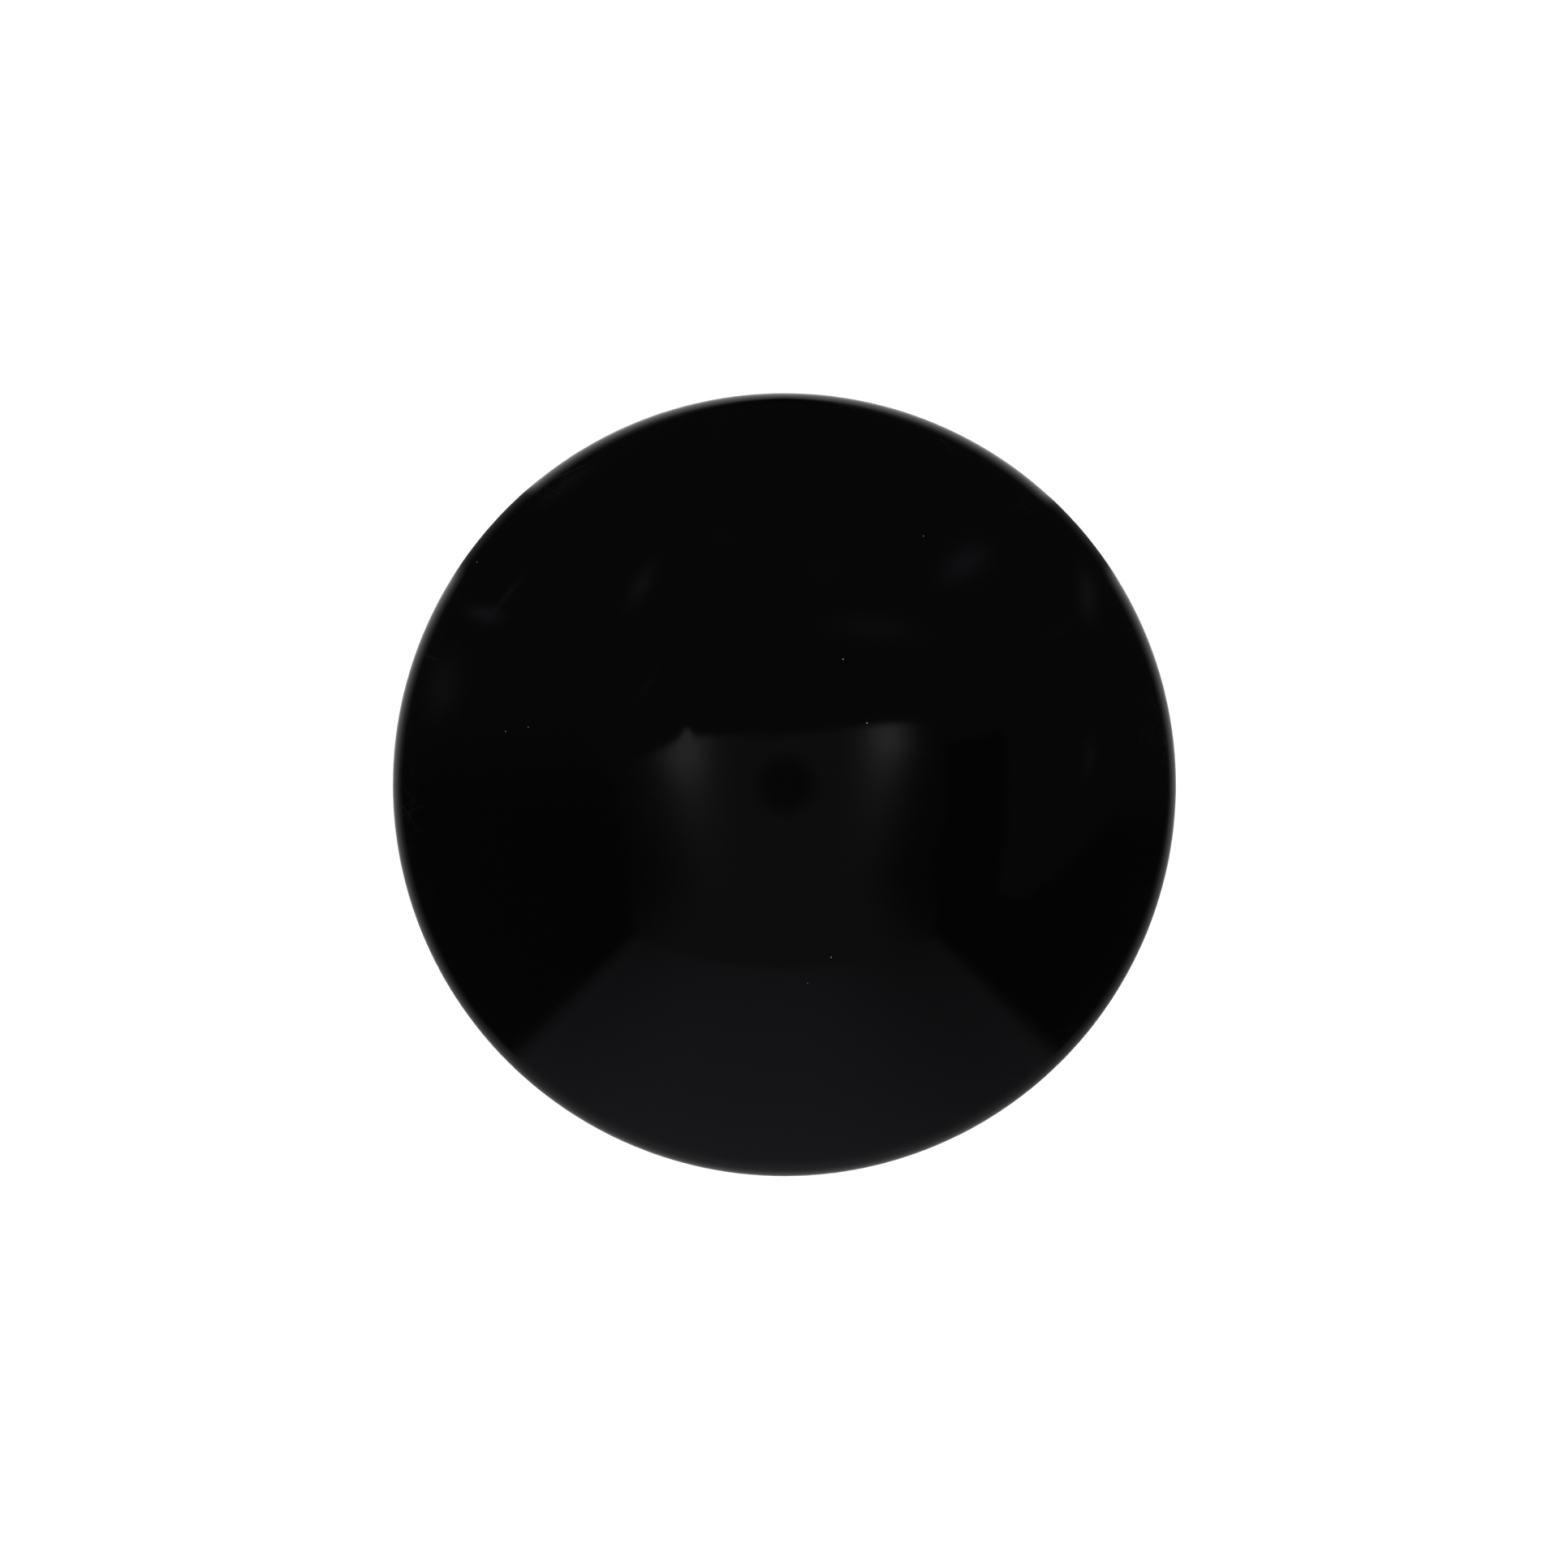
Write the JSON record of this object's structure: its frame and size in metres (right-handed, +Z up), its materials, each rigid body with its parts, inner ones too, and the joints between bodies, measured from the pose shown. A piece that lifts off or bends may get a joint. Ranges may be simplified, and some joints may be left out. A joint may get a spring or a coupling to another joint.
{
  "type": "dealer button",
  "caption": "Weighted dealer button: a glossy black domed top screwed to a flat base, with a steel weight inside and a felt pad under it.",
  "frame": {"origin": "on the table, under the middle of the felt pad", "axes": "+Z up through the top of the dome, the axis that the button is round about; +Y towards screw 1; +X to the right"},
  "size_m": [0.0762, 0.0762, 0.0212],
  "materials": {
    "dome_gloss_black": "high gloss polished black, fine handling marks",
    "damper_foam": "soft closed-cell foam",
    "weight_steel": "punched mild steel, dull mill finish",
    "base_satin_black": "satin moulded black with a fine grain",
    "screw_zinc": "bright zinc plate",
    "adhesive": "clear acrylic adhesive on a thin carrier",
    "felt_black": "pressed wool felt, die cut"
  },
  "bodies": {
    "root": {"top_dome": "dome_gloss_black", "damper_pad": "damper_foam", "weight_disc": "weight_steel", "base_plate": "base_satin_black", "screw_1": "screw_zinc", "screw_2": "screw_zinc", "screw_3": "screw_zinc", "adhesive_film": "adhesive", "felt_pad": "felt_black"}
  },
  "joints": []
}
